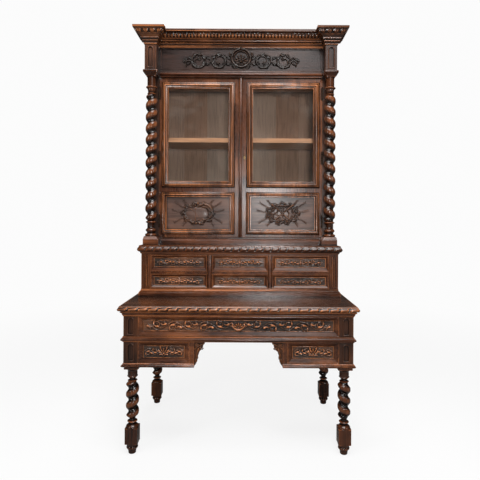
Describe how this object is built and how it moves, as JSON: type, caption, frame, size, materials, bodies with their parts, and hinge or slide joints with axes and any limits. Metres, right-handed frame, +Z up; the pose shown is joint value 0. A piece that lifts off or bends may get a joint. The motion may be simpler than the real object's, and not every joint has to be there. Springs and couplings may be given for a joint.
{
  "type": "secretary desk",
  "caption": "Carved secretary desk: kneehole desk on barley-twist legs, low riser of small drawers, and a glazed bookcase between twisted columns.",
  "frame": {"origin": "on the floor under the centre of the bounding box", "axes": "+Z up, front faces -Y, +X to the right seen from the front"},
  "size_m": [1.252, 0.718, 2.339],
  "materials": {
    "case_wood": "semi-gloss dark walnut-stained oak",
    "carved_wood": "semi-gloss dark stained oak, carved in relief",
    "turned_wood": "semi-gloss dark stained oak, turned and twisted",
    "top_wood": "polished dark stained oak",
    "inner_wood": "matt brown oak",
    "lining_wood": "matt plain oak",
    "door_glass": "clear",
    "brass": "aged brass"
  },
  "bodies": {
    "case": {"bracket_left": "carved_wood", "bracket_right": "carved_wood", "cabinet_back": "inner_wood", "cabinet_boards": "inner_wood", "cabinet_side_left": "case_wood", "cabinet_side_right": "case_wood", "column_left": "turned_wood", "column_plinths": "turned_wood", "column_right": "turned_wood", "corner_posts": "case_wood", "cornice": "carved_wood", "crown_left": "carved_wood", "crown_right": "carved_wood", "desk_back": "inner_wood", "desk_side_left": "case_wood", "desk_side_right": "case_wood", "desk_top": "top_wood", "desk_top_edge": "top_wood", "drawer_runners": "lining_wood", "frieze_blocks": "carved_wood", "frieze_board": "carved_wood", "hinges_case": "brass", "leg_front_left": "turned_wood", "leg_front_right": "turned_wood", "leg_rear_left": "turned_wood", "leg_rear_right": "turned_wood", "pedestal_base_left": "case_wood", "pedestal_base_right": "case_wood", "pedestal_inner_sides": "inner_wood", "riser_back": "inner_wood", "riser_base": "case_wood", "riser_cornice": "carved_wood", "riser_partitions": "lining_wood", "riser_sides": "case_wood", "riser_top": "case_wood", "shelf": "inner_wood", "shelf_cleats": "inner_wood", "top_moulding": "case_wood", "waist_moulding": "case_wood"},
    "frieze_drawer": {"frieze_drawer_front": "carved_wood", "frieze_drawer_box": "lining_wood"},
    "left_drawer": {"left_drawer_front": "carved_wood", "left_drawer_box": "lining_wood"},
    "right_drawer": {"right_drawer_front": "carved_wood", "right_drawer_box": "lining_wood"},
    "upper_left_drawer": {"riser_drawer_upper_left": "carved_wood"},
    "upper_middle_drawer": {"riser_drawer_upper_middle": "carved_wood"},
    "upper_right_drawer": {"riser_drawer_upper_right": "carved_wood"},
    "lower_left_drawer": {"riser_drawer_lower_left": "carved_wood"},
    "lower_middle_drawer": {"riser_drawer_lower_middle": "carved_wood"},
    "lower_right_drawer": {"riser_drawer_lower_right": "carved_wood"},
    "left_door": {"door_left_frame": "case_wood", "door_left_glass": "door_glass", "door_left_panel": "carved_wood", "hinges_door_left": "brass"},
    "right_door": {"door_right_frame": "case_wood", "door_right_glass": "door_glass", "door_right_panel": "carved_wood", "hinges_door_right": "brass", "door_lock": "brass"}
  },
  "joints": [
    {"name": "frieze_drawer_slide", "type": "slide", "parent": "case", "child": "frieze_drawer", "axis": [0, -1, 0], "range_m": [0, 0.4]},
    {"name": "left_drawer_slide", "type": "slide", "parent": "case", "child": "left_drawer", "axis": [0, -1, 0], "range_m": [0, 0.38]},
    {"name": "right_drawer_slide", "type": "slide", "parent": "case", "child": "right_drawer", "axis": [0, -1, 0], "range_m": [0, 0.38]},
    {"name": "upper_left_drawer_slide", "type": "slide", "parent": "case", "child": "upper_left_drawer", "axis": [0, -1, 0], "range_m": [0, 0.25]},
    {"name": "upper_middle_drawer_slide", "type": "slide", "parent": "case", "child": "upper_middle_drawer", "axis": [0, -1, 0], "range_m": [0, 0.25]},
    {"name": "upper_right_drawer_slide", "type": "slide", "parent": "case", "child": "upper_right_drawer", "axis": [0, -1, 0], "range_m": [0, 0.25]},
    {"name": "lower_left_drawer_slide", "type": "slide", "parent": "case", "child": "lower_left_drawer", "axis": [0, -1, 0], "range_m": [0, 0.25]},
    {"name": "lower_middle_drawer_slide", "type": "slide", "parent": "case", "child": "lower_middle_drawer", "axis": [0, -1, 0], "range_m": [0, 0.25]},
    {"name": "lower_right_drawer_slide", "type": "slide", "parent": "case", "child": "lower_right_drawer", "axis": [0, -1, 0], "range_m": [0, 0.25]},
    {"name": "left_door_hinge", "type": "hinge", "parent": "case", "child": "left_door", "pos_m": [-0.48925, 0.025, 1.598], "axis": [0, 0, -1], "range_deg": [0, 90]},
    {"name": "right_door_hinge", "type": "hinge", "parent": "case", "child": "right_door", "pos_m": [0.48925, 0.025, 1.598], "axis": [0, 0, 1], "range_deg": [0, 90]}
  ]
}
